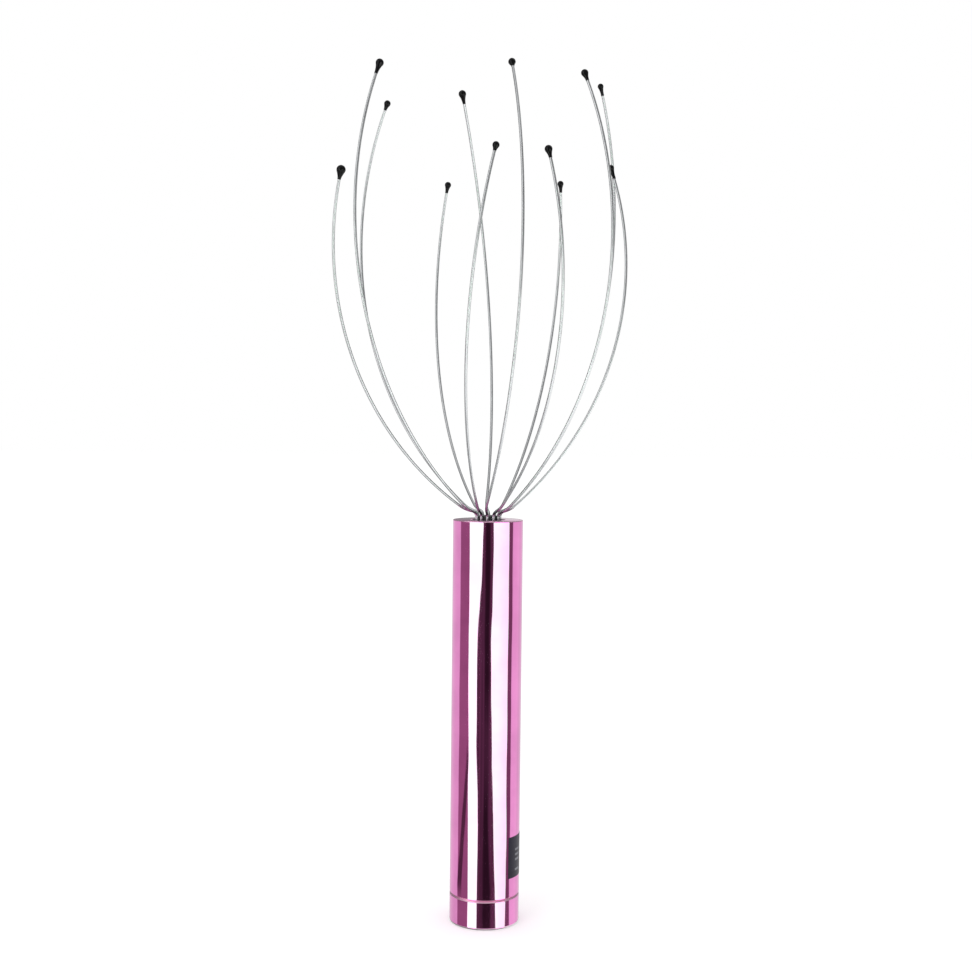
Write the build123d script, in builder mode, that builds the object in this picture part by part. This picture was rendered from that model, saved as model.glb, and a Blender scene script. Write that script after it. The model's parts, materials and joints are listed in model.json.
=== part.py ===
from build123d import *
from math import acos, atan, atan2, cos, degrees, hypot, radians, sin, sqrt
import os

# A battery-powered scalp massager: a slim metallised handle with a vibrating
# motor inside, and a cage of twelve spring-steel wires tipped with small drops.
# Millimetres, +Z up, origin at the centre of the base that it stands on.
# Heights are stacked from the base upwards and radii from the cell outwards,
# so that whatever grows pushes its neighbours along.

os.makedirs("parts", exist_ok=True)

# ---------------------------------------------------------------- driving sizes

# The cell and what wraps it, from the middle outwards
battery_diameter = 14.2
battery_length = 50.5  # over the positive nub
nub_diameter = 5.4
nub_height = 1.4
jacket_thickness = 0.2
jacket_margin = 0.5  # bare metal at each end of the cell
cell_edge = 0.6
battery_clearance = 0.25  # the cell drops in by its own weight
sleeve_wall = 1.75
slip_fit = 0.1  # radial, between a moulding and the tube's bore
tube_wall = 0.8

# End cap, which closes the cell bay and holds the switch
cap_height = 8.4
cap_floor = 1.6
cap_edge = 0.6
seam_chamfer = 0.3  # on the tube's lower rim
cap_rim_chamfer = 0.5  # on the cap's upper rim, which meets it
spigot_length = 6.0
spigot_wall = 1.7
spigot_gap = 0.2  # between the spigot and the sleeve above it
seal_section = 1.0
seal_height = 1.5  # above the seam
seal_fit = 0.05

# Push button and switch
button_diameter = 8.6
button_recess = 0.5  # the button's face lies inside the standing rim
button_flange = 1.0
button_lip = 1.1
button_gap = 0.15
button_edge = 0.4
button_dish = 40.0  # radius of the hollow for the fingertip
button_dish_depth = 0.2
button_travel = 1.2
travel_spare = 0.3
button_nub_diameter = 4.0
button_nub = 0.8
plunger_diameter = 3.0
plunger_length = 3.0
plunger_clearance = 0.1
switch_width = 7.6
switch_height = 4.0
switch_corner = 0.6
chamber_clearance = 0.4
board_thickness = 1.0
board_clearance = 0.1
ring_height = 2.0
ring_wall = 1.7
ring_notch = 1.6

# Negative spring
spring_length = 7.0  # from the switch board to the cell, cap closed
spring_wire = 0.7
spring_base_radius = 4.8
spring_top_radius = 3.0
spring_turns = 3.5
spring_gap = 0.1

# Top contact, its board and the leads
contact_height = 2.0
contact_thickness = 0.3
contact_width = 4.0
contact_span = 10.0
contact_flat = 2.8
contact_slope = 1.4
contact_board_thickness = 1.2
strip_width = 3.6
strip_thickness = 0.3
strip_depth = 0.55  # from the sleeve's skin down to the strip's inner face
strip_clearance = 0.05
wiring_room = 6.3
lead_diameter = 1.0
lead_radius = 6.3
lead_bend = 1.2
lead_drop = 1.8  # lead's centre below the motor

# Motor and its holder
motor_diameter = 12.0
motor_length = 17.0
motor_fit = 0.05
bell_flange = 1.6
bell_plug = 1.4
can_wall = 0.5
can_end = 0.6
nose_diameter = 4.6
nose_height = 1.2
bush_diameter = 3.4
shaft_diameter = 1.5
shaft_clearance = 0.05
press_clearance = 0.02
magnet_thickness = 1.1
magnet_length = 9.0
magnet_gap = 3.0
air_gap = 0.35
pole_count = 3
core_length = 7.0
core_hub_diameter = 3.8
neck_width = 1.8
shoe_thickness = 0.8
slot_opening = 1.2
coil_width = 3.4
coil_overhang = 0.9
coil_clearance = 0.05
commutator_diameter = 3.2
commutator_length = 2.0
commutator_slot = 0.35
brush_thickness = 0.2
brush_width = 3.6
terminal_offset = 4.0
terminal_width = 1.8
terminal_thickness = 0.5
terminal_length = 2.6
holder_wall = 1.5
holder_lip = 0.8
coring_diameter = 1.8
coring_count = 6

# Eccentric weight
weight_diameter = 9.0
weight_height = 5.0
weight_hub_diameter = 3.4
weight_gap = 0.7
shaft_end = 0.5
weight_room = 1.6

# Hub that carries the wires, and the disc that trims it
hub_height = 10.0
hub_plate = 3.0
hub_skirt = 1.2
hub_boss_depth = 6.0
boss_wall = 1.3
rib_count = 6
rib_thickness = 1.0
rib_height = 5.0
rib_bite = 0.4
nose_wall = 0.7
top_cap_thickness = 3.0
top_cap_fit = 0.05
top_cap_edge = 0.4
tube_top_edge = 0.2
core_boss_height = 1.2
core_boss_gap = 0.3
core_boss_edge = 0.4

# Wires: spring steel, bent outwards by a tight lip at the hub, upwards again by
# a short set bend, and then bowed; long and short wires alternate
wire_count = 12
wire_diameter = 0.8
pitch_radius = 3.4
first_wire_angle = -4.0
shank_depth = 9.0
shank_clearance = 0.02
root_clearance = 0.06
neck_height = 0.9
lip_radius = 1.5
set_radius = 9.0
set_angle = 26.0
short_bow_radius = 92.0
short_bow_length = 105.0
long_bow_radius = 102.0
long_bow_length = 131.0

# Drops: cast resin beads with a tapered tail along the wire
drop_diameter = 2.0
drop_skin = 0.12  # at the end of the tail
drop_fit = 0.06  # room for the wire's curve in the straight hole

# Each wire as it left the bender's hand, going round the hub, in degrees: how
# far its heading swings from its own hole, how far the lip leans it out from
# upright, how far the set bend rolls about the leaning wire, and how far the bow
# rolls about the wire after that. Then three shares: the bow's length of the
# usual one, the drop's diameter of the usual one, and its tail of its diameter.
wire_bends = [
    (1, 74, -5, -1, 1.015, 0.95, 1.75),
    (14, 81, -13, 17, 1.085, 0.9, 1.55),
    (-1, 75, -17, 26, 1.02, 0.95, 1.35),
    (24, 61, 45, -69, 1.01, 1.15, 1.3),
    (11, 79, 28, -28, 1.075, 1.0, 1.25),
    (2, 79, 2, 2, 1.02, 1.0, 1.05),
    (15, 79, -22, 16, 0.995, 1.25, 1.05),
    (11, 77, -6, 8, 1.005, 1.1, 1.5),
    (17, 74, -9, 1, 1.0, 0.95, 0.9),
    (-9, 52, -48, 67, 1.005, 1.05, 0.85),
    (2, 75, -9, 18, 0.995, 1.05, 1.15),
    (-7, 74, -5, 9, 0.975, 1.0, 1.15),
]

# ---------------------------------------------------------------- worked out

battery_radius = battery_diameter / 2
sleeve_bore = battery_radius + battery_clearance
sleeve_radius = sleeve_bore + sleeve_wall
tube_bore = sleeve_radius + slip_fit
handle_radius = tube_bore + tube_wall
moulding_radius = tube_bore - slip_fit

button_radius = button_diameter / 2
flange_radius = button_radius + button_lip
switch_reach = switch_width / sqrt(2)
chamber_radius = max(switch_reach, flange_radius) + chamber_clearance
spigot_radius = tube_bore - slip_fit
cup_radius = spigot_radius - spigot_wall
board_radius = cup_radius - board_clearance

seam_z = cap_height
spigot_top = seam_z + spigot_length
flange_z = cap_floor + slip_fit
nub_z = flange_z + button_flange
plunger_z = nub_z + button_nub
switch_z = plunger_z + button_travel + travel_spare
board_z = switch_z + switch_height
board_top = board_z + board_thickness
battery_z = board_top + spring_length
battery_top = battery_z + battery_length
sleeve_z = spigot_top + spigot_gap
contact_board_z = battery_top + contact_height
contact_board_top = contact_board_z + contact_board_thickness

motor_radius = motor_diameter / 2
motor_z = contact_board_top + wiring_room
can_z = motor_z + bell_flange
bell_top = can_z + bell_plug
motor_top = motor_z + motor_length
nose_top = motor_top + nose_height
can_bore = motor_radius - can_wall
bush_radius = bush_diameter / 2
bush_length = can_end + nose_height
shaft_radius = shaft_diameter / 2
magnet_bore = can_bore - motor_fit - magnet_thickness
core_radius = magnet_bore - air_gap
shoe_inner = core_radius - shoe_thickness
commutator_radius = commutator_diameter / 2
weight_z = nose_top + weight_gap
shaft_top = weight_z + weight_height + shaft_end
hub_z = shaft_top + weight_room

plate_z = hub_z + hub_height - hub_plate
hub_top = hub_z + hub_height
handle_top = hub_top + top_cap_thickness
wire_radius = wire_diameter / 2
boss_radius = pitch_radius + wire_radius + boss_wall
nose_radius = pitch_radius + wire_radius + nose_wall
core_boss_radius = pitch_radius - wire_radius - core_boss_gap
hub_inner = moulding_radius - hub_skirt
holder_inner = moulding_radius - holder_wall


def round_bar(z, radius, height, bore=0.0, mode=Mode.ADD):
    """Adds a cylinder, or a ring round a bore, to the part being built."""
    with BuildSketch(Plane.XY.offset(z)) as section:
        Circle(radius)
        if bore:
            Circle(bore, mode=Mode.SUBTRACT)
    extrude(section.sketch, amount=height, mode=mode)


# ---------------------------------------------------------------- handle

with BuildPart() as handle_tube:
    round_bar(seam_z, handle_radius, handle_top - seam_z, tube_bore)
    ends = handle_tube.edges().filter_by(GeomType.CIRCLE)
    chamfer(ends.group_by(Axis.Z)[0].sort_by(SortBy.RADIUS)[-1], seam_chamfer)
    fillet(ends.group_by(Axis.Z)[-1].sort_by(SortBy.RADIUS)[-1], tube_top_edge)
handle_tube.part.label = "handle_tube"
export_step(handle_tube.part, "parts/handle_tube.step")

with BuildPart() as top_cap:
    cap_radius = tube_bore - top_cap_fit
    round_bar(hub_top, cap_radius, top_cap_thickness, nose_radius + slip_fit)
    rims = top_cap.edges().group_by(Axis.Z)[-1]
    chamfer(rims.sort_by(SortBy.RADIUS)[0], top_cap_edge)
top_cap.part.label = "top_cap"
export_step(top_cap.part, "parts/top_cap.step")

# ---------------------------------------------------------------- wire hub

with BuildPart() as wire_hub:
    round_bar(plate_z, moulding_radius, hub_plate)
    round_bar(hub_z, moulding_radius, hub_height - hub_plate, hub_inner)
    round_bar(plate_z - hub_boss_depth, boss_radius, hub_boss_depth)
    with BuildSketch(Plane.XY.offset(plate_z - rib_height)):
        with PolarLocations((boss_radius + hub_inner) / 2, rib_count):
            Rectangle(hub_inner - boss_radius + 2 * rib_bite, rib_thickness)
    extrude(amount=rib_height)
    round_bar(hub_top, nose_radius, top_cap_thickness)
    round_bar(handle_top, core_boss_radius, core_boss_height)
    fillet(wire_hub.edges().group_by(Axis.Z)[-1], core_boss_edge)
    with BuildSketch(Plane.XY.offset(handle_top)):
        with PolarLocations(pitch_radius, wire_count, first_wire_angle):
            Circle(wire_radius + shank_clearance)
    extrude(amount=-shank_depth, mode=Mode.SUBTRACT)
    with Locations((0, 0, handle_top)):
        with PolarLocations(pitch_radius, wire_count, first_wire_angle):
            Sphere(wire_radius + root_clearance, mode=Mode.SUBTRACT)
wire_hub.part.label = "wire_hub"
export_step(wire_hub.part, "parts/wire_hub.step")

with BuildPart() as wire_shanks:
    with BuildSketch(Plane.XY.offset(handle_top - shank_depth)):
        with PolarLocations(pitch_radius, wire_count, first_wire_angle):
            Circle(wire_radius)
    extrude(amount=shank_depth - wire_radius - 2 * root_clearance)
wire_shanks.part.label = "wire_shanks"
export_step(wire_shanks.part, "parts/wire_shanks.step")

# ---------------------------------------------------------------- wires and drops

for index in range(wire_count):
    swing, lean, set_roll, bow_roll, bow, drop, tail = wire_bends[index % len(wire_bends)]
    is_long = index % 2 == 1
    bow_radius = long_bow_radius if is_long else short_bow_radius
    bow_length = bow * (long_bow_length if is_long else short_bow_length)

    hole_angle = first_wire_angle + index * 360 / wire_count
    heading = radians(hole_angle + swing)
    root = Vector(
        pitch_radius * cos(radians(hole_angle)),
        pitch_radius * sin(radians(hole_angle)),
        handle_top,
    )
    outward = Vector(cos(heading), sin(heading), 0)
    lip_plane = Plane(origin=root, x_dir=outward, z_dir=outward.cross(Vector(0, 0, 1)))

    with BuildPart() as wire:
        with BuildLine(lip_plane) as lip_path:
            neck = Line((0, 0), (0, neck_height))
            lip = JernArc(neck @ 1, neck % 1, lip_radius, -lean)
        leaning = Axis(lip @ 1, lip % 1)
        set_plane = Plane(
            origin=leaning.position,
            x_dir=leaning.direction,
            z_dir=lip_plane.z_dir.rotate(leaning, set_roll),
        )
        with BuildLine(set_plane) as set_path:
            set_bend = JernArc((0, 0), (1, 0), set_radius, set_angle)
        rising = Axis(set_bend @ 1, set_bend % 1)
        bow_plane = Plane(
            origin=rising.position,
            x_dir=rising.direction,
            z_dir=set_plane.z_dir.rotate(rising, bow_roll),
        )
        with BuildLine(bow_plane) as bow_path:
            bow_curve = JernArc((0, 0), (1, 0), bow_radius, degrees(bow_length / bow_radius))
        with BuildSketch(Plane(origin=root)):
            Circle(wire_radius)
        sweep(path=Wire(lip_path.edges() + set_path.edges() + bow_path.edges()))
        with Locations(root):
            Sphere(wire_radius)
    wire.part.label = f"wire_{index + 1:02d}"
    export_step(wire.part, f"parts/wire_{index + 1:02d}.step")

    # The drop is turned about the wire's end, with a blind hole for the wire: a
    # round head, and a straight taper that leaves the head where it touches it
    head_radius = drop * drop_diameter / 2
    tail_length = tail * drop * drop_diameter
    hole_radius = wire_radius + drop_fit
    tail_radius = hole_radius + drop_skin
    across = bow_plane.z_dir
    along = bow_curve % 1
    drop_plane = Plane(origin=bow_curve @ 1, x_dir=across, z_dir=across.cross(along))
    taper = acos(head_radius / hypot(tail_radius, tail_length))
    shoulder = atan2(tail_length, tail_radius) - taper
    with BuildPart() as tip:
        with BuildSketch(drop_plane):
            with BuildLine():
                head = CenterArc((0, 0), head_radius, 90, -90 - degrees(shoulder))
                Polyline(
                    head @ 1,
                    (tail_radius, -tail_length),
                    (hole_radius, -tail_length),
                    (hole_radius, 0),
                    (0, 0),
                    (0, head_radius),
                )
            make_face()
        revolve(axis=Axis(bow_curve @ 1, along))
    tip.part.label = f"tip_{index + 1:02d}"
    export_step(tip.part, f"parts/tip_{index + 1:02d}.step")

# ---------------------------------------------------------------- motor holder

with BuildPart() as motor_holder:
    holder_height = hub_z - contact_board_top
    round_bar(contact_board_top, moulding_radius, holder_height, holder_inner)
    round_bar(motor_z, moulding_radius, motor_length, motor_radius + motor_fit)
    lip_bore = motor_radius - holder_lip
    round_bar(motor_z - holder_lip, moulding_radius, holder_lip, lip_bore)
    with BuildSketch(Plane.XY.offset(motor_z - holder_lip)):
        coring_radius = (motor_radius + motor_fit + moulding_radius) / 2
        with PolarLocations(coring_radius, coring_count):
            Circle(coring_diameter / 2)
    extrude(amount=motor_length + holder_lip, mode=Mode.SUBTRACT)
motor_holder.part.label = "motor_holder"
export_step(motor_holder.part, "parts/motor_holder.step")

# ---------------------------------------------------------------- motor, fixed parts

with BuildPart() as motor_can:
    round_bar(can_z, motor_radius, motor_top - can_z)
    fillet(motor_can.edges().group_by(Axis.Z)[-1], can_wall)
    round_bar(can_z, can_bore, motor_top - can_end - can_z, mode=Mode.SUBTRACT)
    round_bar(motor_top, nose_diameter / 2, nose_height)
    with Locations((0, 0, nose_top)):
        Hole(bush_radius + press_clearance, depth=bush_length)
motor_can.part.label = "motor_can"
export_step(motor_can.part, "parts/motor_can.step")

with BuildPart() as motor_end_bell:
    round_bar(motor_z, motor_radius, bell_flange)
    round_bar(can_z, can_bore - motor_fit, bell_plug)
    with Locations((0, 0, bell_top)):
        Hole(bush_radius + press_clearance, depth=bush_length)
motor_end_bell.part.label = "motor_end_bell"
export_step(motor_end_bell.part, "parts/motor_end_bell.step")

with BuildPart() as motor_bushes:
    for bush_z in (bell_top - bush_length, nose_top - bush_length):
        round_bar(bush_z, bush_radius, bush_length, shaft_radius + shaft_clearance)
motor_bushes.part.label = "motor_bushes"
export_step(motor_bushes.part, "parts/motor_bushes.step")

# The armature turns in the middle of the room between the end bell and the can
core_z = (bell_top + commutator_length + motor_top - can_end - core_length) / 2

with BuildPart() as motor_magnets:
    with BuildSketch(Plane.XY.offset(core_z + (core_length - magnet_length) / 2)):
        Circle(can_bore - motor_fit)
        Circle(magnet_bore, mode=Mode.SUBTRACT)
        Rectangle(motor_diameter, magnet_gap, mode=Mode.SUBTRACT)
    extrude(amount=magnet_length)
motor_magnets.part.label = "motor_magnets"
export_step(motor_magnets.part, "parts/motor_magnets.step")

brush_offset = 2 * (commutator_radius + shaft_clearance) + brush_thickness

with BuildPart() as motor_brushes:
    with BuildSketch(Plane.XY.offset(bell_top)):
        with GridLocations(brush_offset, 0, 2, 1):
            Rectangle(brush_thickness, brush_width)
    extrude(amount=commutator_length)
motor_brushes.part.label = "motor_brushes"
export_step(motor_brushes.part, "parts/motor_brushes.step")

with BuildPart() as motor_terminals:
    with BuildSketch(Plane.XY.offset(motor_z)):
        with GridLocations(2 * terminal_offset, 0, 2, 1):
            Rectangle(terminal_thickness, terminal_width)
    extrude(amount=-terminal_length)
motor_terminals.part.label = "motor_terminals"
export_step(motor_terminals.part, "parts/motor_terminals.step")

# ---------------------------------------------------------------- motor, turning parts

shaft_z = bell_top - bush_length + shaft_end
shaft_bore = shaft_radius + press_clearance

with BuildPart() as motor_shaft:
    round_bar(shaft_z, shaft_radius, shaft_top - shaft_z)
motor_shaft.part.label = "motor_shaft"
export_step(motor_shaft.part, "parts/motor_shaft.step")

with BuildPart() as rotor_core:
    with BuildSketch(Plane.XY.offset(core_z)):
        Circle(core_radius)
        Circle(shoe_inner, mode=Mode.SUBTRACT)
        with PolarLocations((core_radius + shoe_inner) / 2, pole_count, 180 / pole_count):
            Rectangle(2 * shoe_thickness, slot_opening, mode=Mode.SUBTRACT)
        with PolarLocations(shoe_inner / 2, pole_count):
            Rectangle(shoe_inner + shoe_thickness, neck_width)
        Circle(core_hub_diameter / 2)
        Circle(shaft_bore, mode=Mode.SUBTRACT)
    extrude(amount=core_length)
rotor_core.part.label = "rotor_core"
export_step(rotor_core.part, "parts/rotor_core.step")

with BuildPart() as rotor_windings:
    coil_inner = core_hub_diameter / 2 + coil_clearance
    coil_outer = shoe_inner - coil_clearance
    coil_middle = (coil_inner + coil_outer) / 2
    with BuildSketch(Plane.XY.offset(core_z - coil_overhang)):
        with PolarLocations(coil_middle, pole_count):
            Rectangle(coil_outer - coil_inner, coil_width)
        Circle(coil_outer, mode=Mode.INTERSECT)
    extrude(amount=core_length + 2 * coil_overhang)
    with BuildSketch(Plane.XY.offset(core_z - coil_clearance)):
        with PolarLocations(coil_middle, pole_count):
            Rectangle(coil_width, neck_width + 2 * coil_clearance)
    extrude(amount=core_length + 2 * coil_clearance, mode=Mode.SUBTRACT)
rotor_windings.part.label = "rotor_windings"
export_step(rotor_windings.part, "parts/rotor_windings.step")

with BuildPart() as commutator:
    with BuildSketch(Plane.XY.offset(bell_top + press_clearance)):
        Circle(commutator_radius)
        with PolarLocations(commutator_radius, pole_count, 180 / pole_count):
            Rectangle(commutator_slot, commutator_slot, mode=Mode.SUBTRACT)
        Circle(shaft_bore, mode=Mode.SUBTRACT)
    extrude(amount=commutator_length)
commutator.part.label = "commutator"
export_step(commutator.part, "parts/commutator.step")

with BuildPart() as eccentric_weight:
    with BuildSketch(Plane.XY.offset(weight_z)):
        Circle(weight_diameter / 2)
        with Locations((0, -weight_diameter / 2)):
            Rectangle(weight_diameter, weight_diameter, mode=Mode.SUBTRACT)
        Circle(weight_hub_diameter / 2)
        Circle(shaft_bore, mode=Mode.SUBTRACT)
    extrude(amount=weight_height)
eccentric_weight.part.label = "eccentric_weight"
export_step(eccentric_weight.part, "parts/eccentric_weight.step")

# ---------------------------------------------------------------- contacts and leads

with BuildPart() as contact_board:
    round_bar(contact_board_z, moulding_radius, contact_board_thickness)
contact_board.part.label = "contact_board"
export_step(contact_board.part, "parts/contact_board.step")

with BuildPart() as positive_contact:
    with BuildSketch(Plane.XZ):
        foot_z = contact_board_z - contact_thickness / 2
        touch_z = battery_top + contact_thickness / 2
        slope_end = contact_flat / 2 + contact_slope
        with BuildLine():
            Polyline(
                (-contact_span / 2, foot_z),
                (-slope_end, foot_z),
                (-contact_flat / 2, touch_z),
                (contact_flat / 2, touch_z),
                (slope_end, foot_z),
                (contact_span / 2, foot_z),
            )
        trace(line_width=contact_thickness)
    extrude(amount=contact_width / 2, both=True)
positive_contact.part.label = "positive_contact"
export_step(positive_contact.part, "parts/positive_contact.step")

for side, name in ((1, "lead_positive"), (-1, "lead_negative")):
    with BuildPart() as lead:
        lead_z = motor_z - lead_drop
        tab_face = terminal_offset + terminal_thickness / 2
        with BuildLine(Plane.XZ) as lead_path:
            FilletPolyline(
                (side * lead_radius, contact_board_top),
                (side * lead_radius, lead_z),
                (side * tab_face, lead_z),
                radius=lead_bend,
            )
        with BuildSketch(Plane((side * lead_radius, 0, contact_board_top))):
            Circle(lead_diameter / 2)
        sweep()
    lead.part.label = name
    export_step(lead.part, f"parts/{name}.step")

strip_y = sleeve_radius - strip_depth + strip_thickness / 2

with BuildPart() as battery_sleeve:
    round_bar(sleeve_z, sleeve_radius, contact_board_z - sleeve_z, sleeve_bore)
    with BuildSketch(Plane.XY.offset(sleeve_z)):
        with Locations((0, sleeve_radius - strip_depth + sleeve_wall / 2)):
            groove_width = strip_width + 2 * strip_clearance
            Rectangle(groove_width, sleeve_wall + 2 * strip_clearance)
    extrude(amount=contact_board_z - sleeve_z, mode=Mode.SUBTRACT)
battery_sleeve.part.label = "battery_sleeve"
export_step(battery_sleeve.part, "parts/battery_sleeve.step")

with BuildPart() as contact_strip:
    with BuildSketch(Plane.XY.offset(sleeve_z)):
        with Locations((0, strip_y)):
            Rectangle(strip_width, strip_thickness)
    extrude(amount=contact_board_z - sleeve_z)
contact_strip.part.label = "contact_strip"
export_step(contact_strip.part, "parts/contact_strip.step")

# ---------------------------------------------------------------- battery

with BuildPart() as battery_cell:
    cell_radius = battery_radius - jacket_thickness
    cell_height = battery_length - nub_height
    round_bar(battery_z, cell_radius, cell_height)
    fillet(battery_cell.edges().filter_by(GeomType.CIRCLE), cell_edge)
    round_bar(battery_z + cell_height, nub_diameter / 2, nub_height)
battery_cell.part.label = "battery_cell"
export_step(battery_cell.part, "parts/battery_cell.step")

with BuildPart() as battery_jacket:
    jacket_z = battery_z + jacket_margin
    jacket_height = cell_height - 2 * jacket_margin
    round_bar(jacket_z, battery_radius, jacket_height, cell_radius + press_clearance)
battery_jacket.part.label = "battery_jacket"
export_step(battery_jacket.part, "parts/battery_jacket.step")

# ---------------------------------------------------------------- end cap

with BuildPart() as end_cap:
    round_bar(0, handle_radius, cap_height)
    fillet(end_cap.edges().group_by(Axis.Z)[0], cap_edge)
    chamfer(end_cap.edges().group_by(Axis.Z)[-1], cap_rim_chamfer)
    round_bar(seam_z, spigot_radius, spigot_length)
    round_bar(board_z, cup_radius, spigot_top - board_z, mode=Mode.SUBTRACT)
    round_bar(cap_floor, chamber_radius, board_z - cap_floor, mode=Mode.SUBTRACT)
    round_bar(0, button_radius + button_gap, cap_floor, mode=Mode.SUBTRACT)
    seal_z = seam_z + seal_height
    groove_z = seal_z - seal_section / 2 - seal_fit
    groove_floor = tube_bore - 2 * seal_fit - seal_section
    groove_height = seal_section + 2 * seal_fit
    round_bar(groove_z, handle_radius, groove_height, groove_floor, Mode.SUBTRACT)
end_cap.part.label = "end_cap"
export_step(end_cap.part, "parts/end_cap.step")

with BuildPart() as seal_ring:
    with Locations((0, 0, seal_z)):
        Torus(tube_bore - seal_fit - seal_section / 2, seal_section / 2)
seal_ring.part.label = "seal_ring"
export_step(seal_ring.part, "parts/seal_ring.step")

with BuildPart() as retaining_ring:
    round_bar(board_top, board_radius, ring_height, board_radius - ring_wall)
    with BuildSketch(Plane.XY.offset(board_top + ring_height / 2)):
        Rectangle(2 * board_radius, ring_notch)
    extrude(amount=ring_height / 2, mode=Mode.SUBTRACT)
retaining_ring.part.label = "retaining_ring"
export_step(retaining_ring.part, "parts/retaining_ring.step")

with BuildPart() as switch_board:
    round_bar(board_z, board_radius, board_thickness)
switch_board.part.label = "switch_board"
export_step(switch_board.part, "parts/switch_board.step")

with BuildPart() as switch_body:
    with BuildSketch(Plane.XY.offset(switch_z)):
        RectangleRounded(switch_width, switch_width, switch_corner)
        Circle(plunger_diameter / 2 + plunger_clearance, mode=Mode.SUBTRACT)
    extrude(amount=switch_height)
switch_body.part.label = "switch_body"
export_step(switch_body.part, "parts/switch_body.step")

with BuildPart() as switch_plunger:
    round_bar(plunger_z, plunger_diameter / 2, plunger_length)
switch_plunger.part.label = "switch_plunger"
export_step(switch_plunger.part, "parts/switch_plunger.step")

with BuildPart() as button:
    round_bar(button_recess, button_radius, flange_z - button_recess)
    fillet(button.edges().group_by(Axis.Z)[0], button_edge)
    round_bar(flange_z, flange_radius, button_flange)
    round_bar(nub_z, button_nub_diameter / 2, button_nub)
    with Locations((0, 0, button_recess + button_dish_depth - button_dish)):
        Sphere(button_dish, mode=Mode.SUBTRACT)
button.part.label = "button"
export_step(button.part, "parts/button.step")

# ---------------------------------------------------------------- negative spring

with BuildPart() as negative_spring:
    coil_rise = spring_length - spring_gap - spring_wire - press_clearance
    coil_z = board_top + spring_wire / 2 + press_clearance
    with BuildLine():
        coil = Helix(
            pitch=coil_rise / spring_turns,
            height=coil_rise,
            radius=spring_base_radius,
            center=(0, 0, coil_z),
            cone_angle=-degrees(atan((spring_base_radius - spring_top_radius) / coil_rise)),
        )
    with BuildSketch(Plane(origin=coil @ 0, z_dir=coil % 0)):
        Circle(spring_wire / 2)
    sweep()
negative_spring.part.label = "negative_spring"
export_step(negative_spring.part, "parts/negative_spring.step")
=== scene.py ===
"""Dresses the electric scalp massager for its picture.

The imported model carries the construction. This script adds the looks: a polished
pink handle, spring-steel wires with resin drops, the end cap with its thread, the
finishes of the pieces inside, and a plain pale studio.
"""

from __future__ import annotations

import json
import logging
import math
from collections.abc import Iterable, Sequence
from dataclasses import dataclass, field
from enum import Enum

import bmesh
import bpy
from mathutils import Matrix, Vector
from mathutils.geometry import interpolate_bezier

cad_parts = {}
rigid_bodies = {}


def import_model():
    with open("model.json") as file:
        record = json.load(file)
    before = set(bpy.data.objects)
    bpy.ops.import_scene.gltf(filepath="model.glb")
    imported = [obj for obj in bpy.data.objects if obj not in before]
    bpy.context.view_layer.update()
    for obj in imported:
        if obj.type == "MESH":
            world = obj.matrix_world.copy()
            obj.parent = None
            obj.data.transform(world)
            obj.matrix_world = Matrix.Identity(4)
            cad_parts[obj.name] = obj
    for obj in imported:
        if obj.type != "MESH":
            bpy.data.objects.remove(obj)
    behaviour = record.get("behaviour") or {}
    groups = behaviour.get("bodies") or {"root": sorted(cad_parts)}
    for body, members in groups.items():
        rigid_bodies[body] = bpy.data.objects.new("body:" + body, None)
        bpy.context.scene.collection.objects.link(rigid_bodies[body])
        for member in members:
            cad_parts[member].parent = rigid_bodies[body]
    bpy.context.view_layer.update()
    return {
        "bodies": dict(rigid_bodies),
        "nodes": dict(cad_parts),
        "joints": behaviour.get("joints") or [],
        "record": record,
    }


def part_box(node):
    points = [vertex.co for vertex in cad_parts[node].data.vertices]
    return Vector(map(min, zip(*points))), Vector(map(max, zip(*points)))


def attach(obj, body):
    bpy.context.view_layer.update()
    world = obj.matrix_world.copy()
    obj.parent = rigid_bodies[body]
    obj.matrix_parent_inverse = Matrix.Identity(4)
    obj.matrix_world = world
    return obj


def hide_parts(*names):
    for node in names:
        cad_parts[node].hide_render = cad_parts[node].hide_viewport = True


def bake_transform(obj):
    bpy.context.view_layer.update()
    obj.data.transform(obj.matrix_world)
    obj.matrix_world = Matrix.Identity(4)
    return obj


LOG = logging.getLogger("scalp_massager")

MM = 0.001
FINGER_NUMBERS = tuple(f"{number:02d}" for number in range(1, 13))
ROUND_STEPS = 224
SHARP_ANGLE = math.radians(32)
WELD = 1e-7
RIM_ROOM = 2e-6

# Level rings this close to a bevel keep the long faces beside it evenly shaded.
RING_ROOM = 0.06 * MM

# A bevelled edge's faces lie this near the outside, and their normals rise this much.
EDGE_REACH = 1.2 * MM
EDGE_STEEPNESS = (0.08, 0.97)

# The wave texture has this many radians to a unit at a scale of 1.
WAVE_RATE = 20

WHITE = (1.0, 1.0, 1.0)
PLAIN_TONE = 0.5

Span = tuple[float, float]
Colour = tuple[float, float, float]
Stop = tuple[float, Colour]
Run = tuple[Span, Span]
Socket = bpy.types.NodeSocket
Level = Socket | float
Shape = bmesh.types.BMesh


class Slot(Enum):
    """The record's material slots."""

    ANODISED_PINK = "anodised_pink"
    SPRING_STEEL = "spring_steel"
    DROP_BLACK = "drop_black"
    HUB_BLACK = "hub_black"
    INNER_WHITE = "inner_white"
    MOTOR_STEEL = "motor_steel"
    MAGNET_GREY = "magnet_grey"
    CONTACT_BRASS = "contact_brass"
    COPPER_WIRE = "copper_wire"
    BOARD_GREEN = "board_green"
    LEAD_RED = "lead_red"
    LEAD_BLACK = "lead_black"
    CELL_METAL = "cell_metal"
    CELL_JACKET = "cell_jacket"
    SEAL_RUBBER = "seal_rubber"
    BUTTON_BLACK = "button_black"
    SWITCH_BLACK = "switch_black"


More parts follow.
